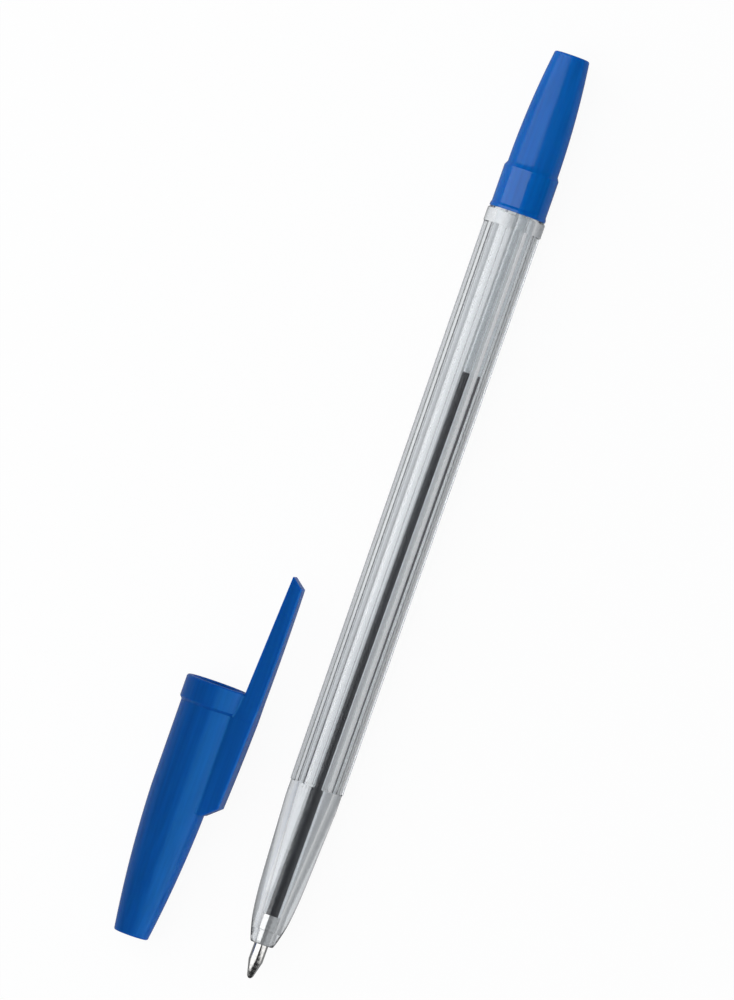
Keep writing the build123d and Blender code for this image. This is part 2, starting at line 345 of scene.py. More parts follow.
def swing(centre, radius, first, last):
    """Points on a circle from one turn to another."""
    turns = [first + (last - first) * i / ARC_STEPS for i in range(ARC_STEPS + 1)]
    return [(centre[0] + radius * math.cos(turn), centre[1] + radius * math.sin(turn)) for turn in turns]


def at_station(line, station):
    """The distance that a line of distances and stations has at a station."""
    for (low, before), (high, after) in zip(line, line[1:]):
        if station <= after:
            break
    return low + (high - low) * (station - before) / (after - before)


def plain(points):
    """Corners without rounding."""
    return [(radius, station, 0) for radius, station in points]


def rounded(corners):
    """An outline through corners of radius, station and rounding, with each rounding drawn as an arc."""
    outline = []
    for i, (radius, station, rounding) in enumerate(corners):
        if not rounding:
            outline.append((radius, station))
            continue
        here = Vector((radius, station))
        back = (Vector(corners[i - 1][:2]) - here).normalized()
        onward = (Vector(corners[(i + 1) % len(corners)][:2]) - here).normalized()
        half = back.angle(onward) / 2
        tangent = rounding / math.tan(half)
        centre = here + (back + onward).normalized() * rounding / math.sin(half)
        middle = centre + (here - centre).normalized() * rounding
        outline += arc(here + back * tangent, middle, here + onward * tangent)
    return outline


# Meshes


def even_turns():
    """Even turns about an axis."""
    return [math.tau * i / TURNED_SIDES for i in range(TURNED_SIDES)]


def facet_turns(sides):
    """Turns about an axis that crowd together at the corners of a polygon."""
    half = math.pi / sides
    offsets = [half * (i / FACET_STEPS) ** 2 for i in range(FACET_STEPS + 1)]
    turns = []
    for side in range(sides):
        corner = 2 * half * side
        turns += [corner + offset for offset in offsets]
        turns += [corner + 2 * half - offset for offset in reversed(offsets[1:-1])]
    return turns


def turned(outline, turns):
    """Rings about the Y axis, with a single point where the outline meets the axis."""
    return [
        [Vector((radius * math.cos(turn), station, radius * math.sin(turn))) for turn in turns]
        if radius else [Vector((0, station, 0))]
        for radius, station in outline
    ]


def polygon_reach(turn, sides, corner, rounding, hollow):
    """Distance from the middle to the edge of a polygon with rounded corners and hollow sides, at a turn."""
    half = math.pi / sides
    off_corner = abs((turn + half) % (2 * half) - half)
    flat = corner * math.cos(half)
    centre = (flat - rounding) / math.cos(half)
    tangent = math.atan2(rounding * math.sin(half), centre + rounding * math.cos(half))
    if off_corner < tangent:
        across = centre * math.sin(off_corner)
        return centre * math.cos(off_corner) + math.sqrt(rounding**2 - across**2)
    off_middle = math.tan(half - off_corner) / math.tan(half - tangent)
    return flat / math.cos(half - off_corner) - hollow * (1 - off_middle**2)


def loft(name, rings, closed=False):
    """A mesh of quads from ring to ring, and from the last to the first where it is closed."""
    shape = bmesh.new()
    rows = [[shape.verts.new(point) for point in ring] for ring in rings]
    pairs = list(zip(rows, rows[1:]))
    if closed:
        pairs.append((rows[-1], rows[0]))
    for row, above in pairs:
        count = max(len(row), len(above))
        for i in range(count):
            j = (i + 1) % count
            corners = row[i % len(row)], row[j % len(row)], above[j % len(above)], above[i % len(above)]
            shape.faces.new(dict.fromkeys(corners))
    return finished(name, shape)


def finished(name, shape):
    """A new object from a closed shape, welded, facing outward and smooth but for its sharp edges."""
    bmesh.ops.remove_doubles(shape, verts=shape.verts, dist=WELD_DISTANCE)
    bmesh.ops.recalc_face_normals(shape, faces=shape.faces)
    mesh = bpy.data.meshes.new(name)
    shape.to_mesh(mesh)
    shape.free()
    smooth(mesh)
    piece = bpy.data.objects.new(name, mesh)
    bpy.context.scene.collection.objects.link(piece)
    return piece


def smooth(mesh):
    """Smooth shading, broken at sharp edges."""
    mesh.shade_smooth()
    mesh.set_sharp_from_angle(angle=SHARP_ANGLE)


def combine(piece, other, operation):
    """Joins or cuts a piece with another, which is used up, and closes the slivers that this leaves."""
    modifier = piece.modifiers.new(operation, "BOOLEAN")
    modifier.operation = operation
    modifier.solver = "EXACT"
    modifier.object = other
    bpy.context.view_layer.update()
    evaluated = piece.evaluated_get(bpy.context.evaluated_depsgraph_get())
    mesh = bpy.data.meshes.new_from_object(evaluated)
    shape = bmesh.new()
    shape.from_mesh(mesh)
    bmesh.ops.remove_doubles(shape, verts=shape.verts, dist=SLIVER)
    bmesh.ops.dissolve_degenerate(shape, edges=shape.edges, dist=SLIVER)
    bmesh.ops.holes_fill(shape, edges=[edge for edge in shape.edges if edge.is_boundary], sides=0)
    shape.to_mesh(mesh)
    shape.free()
    piece.modifiers.clear()
    piece.data = mesh
    bpy.data.objects.remove(other)
    smooth(mesh)


def place(piece, matrix, body, node, material):
    """Puts a piece where its CAD node is, rides it on its body and dresses it."""
    piece.data.transform(matrix)
    piece.data.materials.clear()
    piece.data.materials.append(material)
    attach(piece, body)
    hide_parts(node)


# Materials


def add(tree, kind, settings=None, links=None):
    """Adds a node, sets its properties and inputs, and links its inputs from other nodes' outputs."""
    node = tree.nodes.new(kind)
    for key, value in (settings or {}).items():
        if isinstance(key, str) and hasattr(node, key):
            setattr(node, key, value)
        else:
            node.inputs[key].default_value = value
    for key, source in (links or {}).items():
        tree.links.new(source, node.inputs[key])
    return node


def start_material(name):
    """An empty material with its node tree."""
    material = bpy.data.materials.new(name)
    material.use_nodes = True
    material.node_tree.nodes.clear()
    return material, material.node_tree


def pattern(tree, across, along, detail=2.0):
    """A noise whose grains measure across and along a piece in metres."""
    place_node = add(tree, "ShaderNodeTexCoord")
    stretch = add(
        tree, "ShaderNodeMapping",
        {"Scale": (1 / across, 1 / along, 1 / across)},
        {"Vector": place_node.outputs["Object"]},
    )
    noise = add(
        tree, "ShaderNodeTexNoise",
        {"Scale": 1.0, "Detail": detail},
        {"Vector": stretch.outputs["Vector"]},
    )
    return noise.outputs["Fac"]


def between(tree, source, low, high):
    """A number from low to high as a pattern goes from dark to light, over the range that it mostly has."""
    node = add(
        tree, "ShaderNodeMapRange",
        {"From Min": 0.3, "From Max": 0.7, "To Min": low, "To Max": high},
        {"Value": source},
    )
    return node.outputs["Result"]


def two_tone(tree, source, first, second):
    """A colour from the first to the second as a pattern goes from dark to light."""
    factor = between(tree, source, 0, 1)
    node = add(
        tree, "ShaderNodeMix",
        {"data_type": "RGBA", 6: (*first, 1), 7: (*second, 1)},
        {0: factor},
    )
    return node.outputs[2]


def pass_lamp_light(tree, plastic, tint):
    """Ends a clear material. Lamps shine through it with a tint, so that its shadow stays pale."""
    passed = add(tree, "ShaderNodeBsdfTransparent", {"Color": (*tint, 1)})
    path = add(tree, "ShaderNodeLightPath")
    mixed = add(
        tree, "ShaderNodeMixShader", None,
        {0: path.outputs["Is Shadow Ray"], 1: plastic.outputs[0], 2: passed.outputs[0]},
    )
    add(tree, "ShaderNodeOutputMaterial", None, {"Surface": mixed.outputs[0]})


def clear_styrene(colours):
    """Crystal polystyrene moulded in a polished tool: clear, bright and strongly refracting, with a cool
    tint, faint flow streaks along the barrel and fine scuffs that soften the gloss."""
    material, tree = start_material("Clear_polystyrene_polished")
    streak = pattern(tree, across=1.2 * MM, along=150 * MM)
    scuff = pattern(tree, across=0.5 * MM, along=3 * MM, detail=4)
    bump = add(
        tree, "ShaderNodeBump", {"Strength": 0.03, "Distance": 0.01 * MM}, {"Height": streak}
    )
    plastic = add(
        tree, "ShaderNodeBsdfPrincipled",
        {"IOR": 1.59, "Transmission Weight": 1.0},
        {
            "Base Color": two_tone(tree, streak, colours.styrene, colours.styrene_streak),
            "Roughness": between(tree, scuff, 0.07, 0.12),
            "Normal": bump.outputs["Normal"],
        },
    )
    pass_lamp_light(tree, plastic, colours.styrene_shade)
    return material


def natural_polypropylene(colours):
    """Extruded natural polypropylene: a little milky, so that it blurs what is behind it, with draw lines."""
    material, tree = start_material("Natural_polypropylene_extruded")
    drawn = pattern(tree, across=0.3 * MM, along=60 * MM)
    plastic = add(
        tree, "ShaderNodeBsdfPrincipled",
        {"IOR": 1.49, "Transmission Weight": 1.0},
        {
            "Base Color": two_tone(tree, drawn, colours.tube, [c * 0.94 for c in colours.tube]),
            "Roughness": between(tree, drawn, 0.1, 0.16),
        },
    )
    pass_lamp_light(tree, plastic, colours.tube_shade)
    return material


def paste_ink(colours):
    """Paste ink wetted on the tube's wall: nearly black, a little thinner in streaks."""
    material, tree = start_material("Paste_ink_wet")
    smear = pattern(tree, across=0.35 * MM, along=12 * MM, detail=3)
    ink = add(
        tree, "ShaderNodeBsdfPrincipled",
        {"IOR": 1.5, "Specular IOR Level": 0.0},
        {
            "Base Color": two_tone(tree, smear, colours.ink, colours.ink_thin),
            "Roughness": between(tree, smear, 0.3, 0.45),
        },
    )
    add(tree, "ShaderNodeOutputMaterial", None, {"Surface": ink.outputs[0]})
    return material


def nickel_silver(colours):
    """Nickel silver turned on a lathe: bright and pale, with fine rings from the tool. The rings are drawn
    0.12 mm apart, coarser than real ones, so that they show."""
    material, tree = start_material("Nickel_silver_turned")
    place_node = add(tree, "ShaderNodeTexCoord")
    rings = add(
        tree, "ShaderNodeTexWave",
        {"wave_type": "BANDS", "bands_direction": "Y", "Scale": 1 / (20 * 0.12 * MM), "Distortion": 0.4},
        {"Vector": place_node.outputs["Object"]},
    )
    tarnish = pattern(tree, across=0.6 * MM, along=0.9 * MM)
    bump = add(
        tree, "ShaderNodeBump", {"Strength": 0.04, "Distance": 0.004 * MM}, {"Height": rings.outputs["Fac"]}
    )
    metal = add(
        tree, "ShaderNodeBsdfPrincipled",
        {"Metallic": 1.0},
        {
            "Base Color": two_tone(tree, tarnish, colours.nickel, [c * 0.88 for c in colours.nickel]),
            "Roughness": between(tree, rings.outputs["Fac"], 0.12, 0.2),
            "Normal": bump.outputs["Normal"],
        },
    )
    add(tree, "ShaderNodeOutputMaterial", None, {"Surface": metal.outputs[0]})
    return material


def lapped_carbide(colours):
    """Lapped tungsten carbide: dark, smooth and mirror bright, with a film of ink in patches."""
    material, tree = start_material("Tungsten_carbide_lapped")
    film = pattern(tree, across=0.25 * MM, along=0.25 * MM)
    metal = add(
        tree, "ShaderNodeBsdfPrincipled",
        {"Metallic": 1.0},
        {
            "Base Color": two_tone(tree, film, colours.carbide, colours.ink_thin),
            "Roughness": between(tree, film, 0.1, 0.25),
        },
    )
    add(tree, "ShaderNodeOutputMaterial", None, {"Surface": metal.outputs[0]})
    return material


def change_behind(tree, front, before, behind):
    """A number that changes over a millimetre behind a place along the pen."""
    place_node = add(tree, "ShaderNodeTexCoord")
    split = add(tree, "ShaderNodeSeparateXYZ", None, {0: place_node.outputs["Object"]})
    change = add(
        tree, "ShaderNodeMapRange",
        {"From Min": front, "From Max": front + MM, "To Min": before, "To Max": behind},
        {"Value": split.outputs["Y"]},
    )
    return change.outputs["Result"]


def blue_polypropylene(name, blue, sheen, gloss, satin_front=None):
    """Polypropylene coloured blue and moulded in a polished tool: slightly waxy, letting light into thin
    walls, with fine streaks of pigment along the flow. The gloss is its roughness where it is smoothest,
    and behind a given place along the pen it turns a little satin."""
    material, tree = start_material(name)
    streak = pattern(tree, across=0.7 * MM, along=30 * MM, detail=3)
    skin = pattern(tree, across=0.35 * MM, along=0.6 * MM)
    bump = add(
        tree, "ShaderNodeBump", {"Strength": 0.08, "Distance": 0.02 * MM}, {"Height": skin}
    )
    links = {
        "Base Color": two_tone(tree, streak, blue, [c * 0.8 for c in blue]),
        "Roughness": between(tree, skin, gloss, gloss + 0.07),
        "Normal": bump.outputs["Normal"],
    }
    if satin_front is not None:
        satin = change_behind(tree, satin_front, 0.0, 0.1)
        total = add(tree, "ShaderNodeMath", {"operation": "ADD"}, {0: links["Roughness"], 1: satin})
        links["Roughness"] = total.outputs[0]
        links["Specular IOR Level"] = change_behind(tree, satin_front, 0.5, 0.3)
    plastic = add(
        tree, "ShaderNodeBsdfPrincipled",
        {
            "IOR": 1.49,
            "Subsurface Weight": 0.5,
            "Subsurface Radius": (0.1, 0.35, 1.0),
            "Subsurface Scale": 2.0 * MM,
            "Specular Tint": (*sheen, 1),
        },
        links,
    )
    add(tree, "ShaderNodeOutputMaterial", None, {"Surface": plastic.outputs[0]})
    return material


def studio_paper(colours, stage, pen_x):
    """Matt studio paper, near white to the eye, with a soft shadow under the object and a faint tooth. Seen
    through the barrel it shows painted shade: pale left of the pen, darkened right of it in place of the
    pen's shadow, and a little paler again beyond. Polished pieces mirror it dimly."""
    material, tree = start_material("Studio_paper_matt")
    tooth = pattern(tree, across=0.8 * MM, along=0.8 * MM)
    paper = add(
        tree, "ShaderNodeBsdfPrincipled",
        {"Roughness": 0.9, "Specular IOR Level": 0.1},
        {"Base Color": two_tone(tree, tooth, colours.floor, [c * 0.985 for c in colours.floor])},
    )
    path = add(tree, "ShaderNodeLightPath")
    dimmed = add(
        tree, "ShaderNodeMapRange", {"To Min": 1.0, "To Max": 0.12}, {"Value": path.outputs["Is Glossy Ray"]}
    )
    place_node = add(tree, "ShaderNodeTexCoord")
    split = add(tree, "ShaderNodeSeparateXYZ", None, {0: place_node.outputs["Object"]})
    # Painted shade: full brightness left of the pen, falling to 0.3 right of it, in place of the pen's shadow
    shade = add(
        tree, "ShaderNodeMapRange",
        {
            "interpolation_type": "SMOOTHSTEP",
            "From Min": pen_x + stage.painted_shade_start, "From Max": pen_x + stage.painted_shade_end,
            "To Min": 1.0, "To Max": 0.3,
        },
        {"Value": split.outputs["X"]},
    )
    # Further right the painted shade eases, back up to half brightness
    painted_shade_easing = add(
        tree, "ShaderNodeMapRange",
        {
            "interpolation_type": "SMOOTHSTEP",
            "From Min": pen_x + stage.painted_shade_fade_start, "From Max": pen_x + stage.painted_shade_fade_end,
            "To Min": 0.0, "To Max": 0.5,
        },
        {"Value": split.outputs["X"]},
    )
    tone = add(
        tree, "ShaderNodeMath", {"operation": "MAXIMUM"},
        {0: shade.outputs["Result"], 1: painted_shade_easing.outputs["Result"]},
    )
    # Only rays that have passed through clear plastic see the painted shade
    refracted = add(
        tree, "ShaderNodeMath", {"operation": "MULTIPLY"},
        {0: path.outputs["Is Transmission Ray"], 1: tone.outputs[0]},
    )
    level = add(
        tree, "ShaderNodeMath", {"operation": "MAXIMUM"},
        {0: dimmed.outputs["Result"], 1: refracted.outputs[0]},
    )
    white = add(tree, "ShaderNodeEmission", {"Color": (1, 1, 1, 1)}, {"Strength": level.outputs[0]})
    shown = add(
        tree, "ShaderNodeMath", {"operation": "MULTIPLY", 1: 0.94}, {0: path.outputs["Is Camera Ray"]}
    )
    gloss = add(
        tree, "ShaderNodeMath", {"operation": "MULTIPLY", 1: 0.7}, {0: path.outputs["Is Glossy Ray"]}
    )
    through = add(
        tree, "ShaderNodeMix", {"data_type": "FLOAT", 3: 0.5},
        {0: path.outputs["Is Transmission Ray"], 2: gloss.outputs[0]},
    )
    seen = add(
        tree, "ShaderNodeMath", {"operation": "MAXIMUM"}, {0: shown.outputs[0], 1: through.outputs[0]}
    )
    mixed = add(
        tree, "ShaderNodeMixShader", None,
        {0: seen.outputs[0], 1: paper.outputs[0], 2: white.outputs[0]},
    )
    add(tree, "ShaderNodeOutputMaterial", None, {"Surface": mixed.outputs[0]})
    return material


# Operators, one for each piece and one for the stage


class PEN_OT_barrel(bpy.types.Operator):
    """Builds the clear barrel with its nose, grip, collar, tenon and bore"""
    bl_idname = "pen.barrel"
    bl_label = "Clear Barrel"

    NOSE_STATION_SHARES = (0.0, 0.06, 0.16, 0.3, 0.46, 0.7, 0.9)
    NOSE_RADIUS_SHARES = (0.435, 0.556, 0.697, 0.797, 0.861, 0.935, 1.0)
    GRIP_SIDES = 6
    SLOPE_STEPS = 5

    def execute(self, context):
        scene = context.scene
        pen, barrel, refill, at = scene.pen_sizes, scene.pen_barrel, scene.pen_refill, Stations(scene)
        turns = facet_turns(self.GRIP_SIDES)
        rings = turned(self.nose(pen, barrel, refill, at), turns)
        rings += self.grip(barrel, at, turns)
        rings += turned(self.rear_and_bore(pen, barrel, refill, at), turns)
        piece = loft("clear_barrel", rings, closed=True)
        material = clear_styrene(scene.pen_colours)
        place(piece, pen_place(), "barrel", "barrel", material)
        return {"FINISHED"}

    def nose(self, pen, barrel, refill, at):
        """Outline of the nose, from the hole for the point to the seat of the cap."""
        stations = [at.nose_front + pen.nose_length * s for s in self.NOSE_STATION_SHARES]
        radii = [barrel.nose_radius * s for s in self.NOSE_RADIUS_SHARES]
        ogive = plain(spline(list(zip(radii, stations))))
        hole = refill.point_radius + pen.clearance
        front = (*ogive[0][:2], barrel.lip_round)
        skipped = next(i for i, (_, y, _) in enumerate(ogive) if y > at.nose_front + 2 * barrel.lip_round)
        return rounded(
            [(hole, at.nose_front, 0), front, *ogive[skipped:], (barrel.nose_radius, at.grip_front, 0)]
        )

    def grip(self, barrel, at, turns):
        """Rings of the hexagonal grip, with its front corners sloped down to the nose."""
        rings = []
        for i in range(self.SLOPE_STEPS + 1):
            share_of_slope = i / self.SLOPE_STEPS
            limit = barrel.nose_radius + (barrel.corner_rear - barrel.nose_radius) * share_of_slope
            station = at.grip_front + barrel.corner_slope * share_of_slope
            rings.append(self.section(barrel, turns, barrel.corner_front, station, limit))
        rings.append(self.section(barrel, turns, barrel.corner_rear, at.collar_front, barrel.collar_radius))
        return rings

    def section(self, barrel, turns, corner, station, limit):
        """One ring of the grip, no further out than a limit."""
        reaches = [
            min(limit, polygon_reach(turn, self.GRIP_SIDES, corner, barrel.corner_round, barrel.facet_hollow))
            for turn in turns
        ]
        return [
            Vector((reach * math.cos(turn), station, reach * math.sin(turn)))
            for reach, turn in zip(reaches, turns)
        ]

    def rear_and_bore(self, pen, barrel, refill, at):
        """Outline of the collar and tenon, then of the bore back to the hole for the point."""
        guide = refill.tube_radius + pen.slack
        hole = refill.point_radius + pen.clearance
        guide_rear = at.seat + barrel.guide_length
        return rounded([
            (barrel.collar_radius, at.collar_front, barrel.collar_round),
            (barrel.collar_radius, at.collar_rear - barrel.collar_chamfer, barrel.collar_round),
            (barrel.collar_radius - barrel.collar_chamfer, at.collar_rear, barrel.collar_round),
            (barrel.tenon_radius, at.collar_rear, 0),
            (barrel.tenon_radius, at.tenon_rear - barrel.tenon_chamfer, 0),
            (barrel.tenon_radius - barrel.tenon_chamfer, at.tenon_rear, 0),
            (barrel.bore_rear, at.tenon_rear, 0),
            (barrel.bore_front, guide_rear + barrel.flare_length, 0),
            (guide, guide_rear, 0),
            (guide, at.seat, 0),
            (hole, at.seat, 0),
        ])


class PEN_OT_refill(bpy.types.Operator):
    """Builds the ink tube, the ink and the turned point, and dresses the ball"""
    bl_idname = "pen.refill"
    bl_label = "Refill"

    # Share of its dish that the ink's level has sunk half way in from the wall
    HALF_WAY_DISH_SHARE = 0.75

    def execute(self, context):
        scene = context.scene
        sizes, at = scene.pen_refill, Stations(scene)
        matrix = refill_place(at)
        colours = scene.pen_colours
        tube = loft("ink_tube", turned(self.tube(sizes, at), even_turns()), closed=True)
        place(tube, matrix, "refill", "refill_tube", natural_polypropylene(colours))
        ink = loft("ink", turned(self.ink(sizes, at), even_turns()))
        place(ink, matrix, "refill", "ink_column", paste_ink(colours))
        point = loft("turned_point", turned(self.point(sizes, at), even_turns()), closed=True)
        place(point, matrix, "refill", "point_body", nickel_silver(colours))
        ball = frame["nodes"]["writing_ball"]
        ball.data.materials.clear()
        ball.data.materials.append(lapped_carbide(colours))
        return {"FINISHED"}

    def tube(self, sizes, at):
        """Outline of the tube, with the neck that sits in the point."""
        return rounded([
            (sizes.tube_bore_radius, at.neck_front, 0),
            (sizes.neck_radius, at.neck_front, 0),
            (sizes.neck_radius, at.shoulder_rear, 0),
            (sizes.tube_radius, at.shoulder_rear, 0),
            (sizes.tube_radius, at.tube_rear, sizes.edge_round),
            (sizes.tube_bore_radius, at.tube_rear, sizes.edge_round),
        ])

    def ink(self, sizes, at):
        """Outline of the ink, which wets the tube and ends in a dished level."""
        wet = sizes.tube_bore_radius + sizes.ink_wetting
        front = 2 * sizes.ball_radius + sizes.ball_gap + sizes.meniscus_gap
        feed_rear = 2 * sizes.ball_radius + sizes.feed_length
        half_way = at.ink_rear - self.HALF_WAY_DISH_SHARE * sizes.ink_dish
        level = arc((wet, at.ink_rear), (wet / 2, half_way), (0, at.ink_rear - sizes.ink_dish))
        return [
            (0, front),
            (sizes.feed_radius, front),
            (sizes.feed_radius, feed_rear),
            (sizes.point_bore_radius, feed_rear),
            (sizes.point_bore_radius, at.neck_front),
            (wet, at.neck_front),
            *level[:-1],
            (0, level[-1][1]),
        ]

    def point(self, sizes, at):
        """Outline of the point: lip, cone, cylinder and shoulder, then its bores and the ball's socket."""
        socket = sizes.ball_radius + sizes.ball_gap
        lip_hole = math.sqrt(socket**2 - (sizes.ball_radius - sizes.ball_show) ** 2)
        socket_rear = sizes.ball_radius + math.sqrt(socket**2 - sizes.feed_radius**2)
        feed_rear = 2 * sizes.ball_radius + sizes.feed_length
        cup = arc((sizes.feed_radius, socket_rear), (socket, sizes.ball_radius), (lip_hole, sizes.ball_show))
        return rounded([
            (lip_hole + sizes.lip_wall, sizes.ball_show, 0),
            (sizes.point_radius, sizes.ball_show + sizes.cone_length, 0),
            (sizes.point_radius, at.shoulder_front, 0),
            (sizes.tube_radius, at.shoulder_front, sizes.edge_round),
            (sizes.tube_radius, at.shoulder_rear, sizes.edge_round),
            (sizes.neck_radius, at.shoulder_rear, 0),
            (sizes.neck_radius, at.neck_front, 0),
            (sizes.point_bore_radius, at.neck_front, 0),
            (sizes.point_bore_radius, feed_rear, 0),
            (sizes.feed_radius, feed_rear, 0),
            *plain(cup),
        ])


class PEN_OT_plug(bpy.types.Operator):
    """Builds the blue plug that sleeves over the barrel's tenon"""
    bl_idname = "pen.plug"
    bl_label = "End Plug"

    def execute(self, context):
        scene = context.scene
        plug, colours, at = scene.pen_plug, scene.pen_colours, Stations(scene)
        outline = self.outline(scene.pen_sizes, scene.pen_barrel, plug, at)
        piece = loft("tail_plug", turned(outline, even_turns()))
        satin = pen_place().translation.y + at.collar_rear + plug.sleeve_length
        material = blue_polypropylene(
            "Blue_polypropylene_glossy", colours.plug_blue, colours.plug_sheen, 0.08, satin_front=satin
        )
        place(piece, pen_place(), "end_plug", "end_plug", material)
        return {"FINISHED"}

    def outline(self, pen, barrel, plug, at):
        """Outline of the plug, from its closed end over the taper and sleeve, then back inside."""
        sleeve_rear = at.collar_rear + plug.sleeve_length
        taper_front = sleeve_rear + plug.step_length
        taper_rear = at.pen_rear - plug.end_round
        middle = (taper_front + taper_rear) / 2
        bulge = plug.taper_bulge_share * (plug.taper_radius - plug.end_radius)
        middle_radius = (plug.taper_radius + plug.end_radius) / 2 + bulge
        rear, front = (plug.end_radius, taper_rear), (plug.taper_radius, taper_front)
        taper = arc(rear, (middle_radius, middle), front, CURVE_STEPS)
        end = swing((plug.end_radius - plug.end_round, taper_rear), plug.end_round, math.pi / 2, 0)
        socket = barrel.tenon_radius + pen.clearance
        socket_rear = at.tenon_rear + pen.clearance
        return rounded([
            (0, at.pen_rear, 0),
            *plain(end[:-1]),
            *plain(taper),
            (plug.sleeve_radius, sleeve_rear, plug.edge_round),
            (plug.sleeve_radius, at.collar_rear + plug.lip_length, plug.edge_round),
            (plug.lip_radius, at.collar_rear + plug.lip_length / 2, plug.edge_round),
            (plug.lip_radius, at.collar_rear, plug.edge_round),
            (socket, at.collar_rear, 0),
            (socket, socket_rear, 0),
            (plug.cavity_radius, socket_rear, 0),
            (plug.cavity_radius, at.cavity_rear, 0),
            (0, at.cavity_rear, 0),
        ])


class PEN_OT_cap(bpy.types.Operator):
    """Builds the blue cap with its rim and pocket clip"""
    bl_idname = "pen.cap"
    bl_label = "Cap"

    def execute(self, context):
        scene = context.scene
        cap = scene.pen_cap
        mouth_radius = scene.pen_barrel.nose_radius + scene.pen_sizes.clearance
        piece = loft("clip_cap", turned(self.outside(cap), even_turns()))
        combine(piece, self.clip(cap), "UNION")
        hollow = loft("cap_hollow", turned(self.inside(cap, mouth_radius), even_turns()))
        combine(piece, hollow, "DIFFERENCE")
        colours = scene.pen_colours
        material = blue_polypropylene("Blue_polypropylene_satin", colours.cap_blue, colours.cap_sheen, 0.2)
        place(piece, cap_place(cap), "cap", "cap", material)
        # So that no blue of the cap shows in the edges of the clear barrel
        piece.visible_transmission = False
        return {"FINISHED"}

    def outside(self, cap):
        """Outline of the solid cap, from its closed end to the mouth."""
        rim = cap.cap_length - cap.rim_length
        middle = (cap.end_round + cap.body_station) / 2
        middle_radius = cap.end_radius + cap.bulge_share * (cap.body_radius - cap.end_radius)
        start, stop = (cap.end_radius, cap.end_round), (cap.body_radius, cap.body_station)
        taper = arc(start, (middle_radius, middle), stop, CURVE_STEPS)
        end = swing((cap.end_radius - cap.end_round, cap.end_round), cap.end_round, -math.pi / 2, 0)
        return rounded([
            (0, 0, 0),
            *plain(end[:-1]),
            *plain(taper),
            (cap.body_radius, rim, 0),
            (cap.rim_radius, rim + cap.rim_chamfer, 0),
            (cap.rim_radius, cap.cap_length, cap.rim_round),
            (0, cap.cap_length, 0),
        ])

    def inside(self, cap, mouth_radius):
        """Outline of the hollow, which runs a little past the mouth."""
        mouth = cap.cap_length - cap.mouth_length
        radius = cap.body_radius - cap.wall
        end_radius = cap.end_radius - cap.wall
        middle = (cap.end_wall + cap.body_station) / 2
        middle_radius = end_radius + cap.bulge_share * (radius - end_radius)
        start, stop = (end_radius, cap.end_wall), (radius, cap.body_station)
        taper = arc(start, (middle_radius, middle), stop, CURVE_STEPS)
        past = cap.cap_length + cap.mouth_chamfer
        return [
            (0, cap.end_wall),
            *taper,
            (radius, mouth - cap.mouth_taper),
            (mouth_radius, mouth),
            (mouth_radius, cap.cap_length - cap.mouth_chamfer),
            (mouth_radius + 2 * cap.mouth_chamfer, past),
            (0, past),
        ]

    def clip(self, cap):
        """The clip and its web, as sections from the foot to the tip."""
        web = cap.clip_foot_station + cap.clip_foot_slope
        rim = cap.cap_length - cap.rim_length
        free = cap.cap_length - cap.rim_round
        tip = cap.cap_length + cap.clip_reach
        end = tip - cap.clip_end_slope
        bow = cap.clip_foot_distance + cap.clip_bow_share * (cap.clip_outer_distance - cap.clip_foot_distance)
        back = arc(
            (cap.clip_foot_distance, web), (bow, (web + end) / 2), (cap.clip_outer_distance, end), CURVE_STEPS
        )
        back = [(cap.body_radius, cap.clip_foot_station), *back, (cap.clip_tip_distance + cap.tip_edge, tip)]
        widths = [
            (cap.web_width, cap.clip_foot_station),
            (cap.web_width, rim),
            (cap.blade_root_width, cap.cap_length),
            (cap.blade_tip_width, tip),
        ]
        bare = [(cap.clip_root_distance, cap.cap_length), (cap.clip_tip_distance, tip)]
        changes = {rim, rim + cap.rim_chamfer, free, cap.cap_length}
        stations = sorted(changes.union(station for _, station in back))
        buried = cap.body_radius / 2
        rings = []
        for station in stations:
            outer, width = at_station(back, station), at_station(widths, station)
            if station <= free:
                body = cap.body_radius if station <= rim else cap.rim_radius
                rings.append(self.section(cap, station, buried, outer, width / 2, cap.root_round, body))
            if station == free:
                rings.append(self.section(cap, station, buried, outer, width / 2, 0, 0))
            if station >= free:
                inner = at_station(bare, station)
                rings.append(self.section(cap, station, inner, outer, width / 2, 0, 0))
        foot, point = (sum(ring, Vector()) / len(ring) for ring in (rings[0], rings[-1]))
        return loft("cap_clip", [[foot], *rings, [point]])

    def section(self, cap, station, inner, outer, half, root, body):
        """A section of the clip: rounded outside, and filleted at the root where it stands on the body."""
        rounding = min(cap.clip_round, (outer - inner) / 2)
        side = [(inner, half)]
        if root:
            centre = math.sqrt((body + root) ** 2 - (half + root) ** 2)
            first = math.atan2(-half - root, -centre) % math.tau
            side += swing((centre, half + root), root, first, 1.5 * math.pi)
        else:
            side += [(inner, half)] * (ARC_STEPS + 1)
        side += swing((outer - rounding, half - rounding), rounding, math.pi / 2, 0)
        mirrored = [(distance, -across) for distance, across in reversed(side)]
        return [Vector((distance, station, across)) for distance, across in side + mirrored]


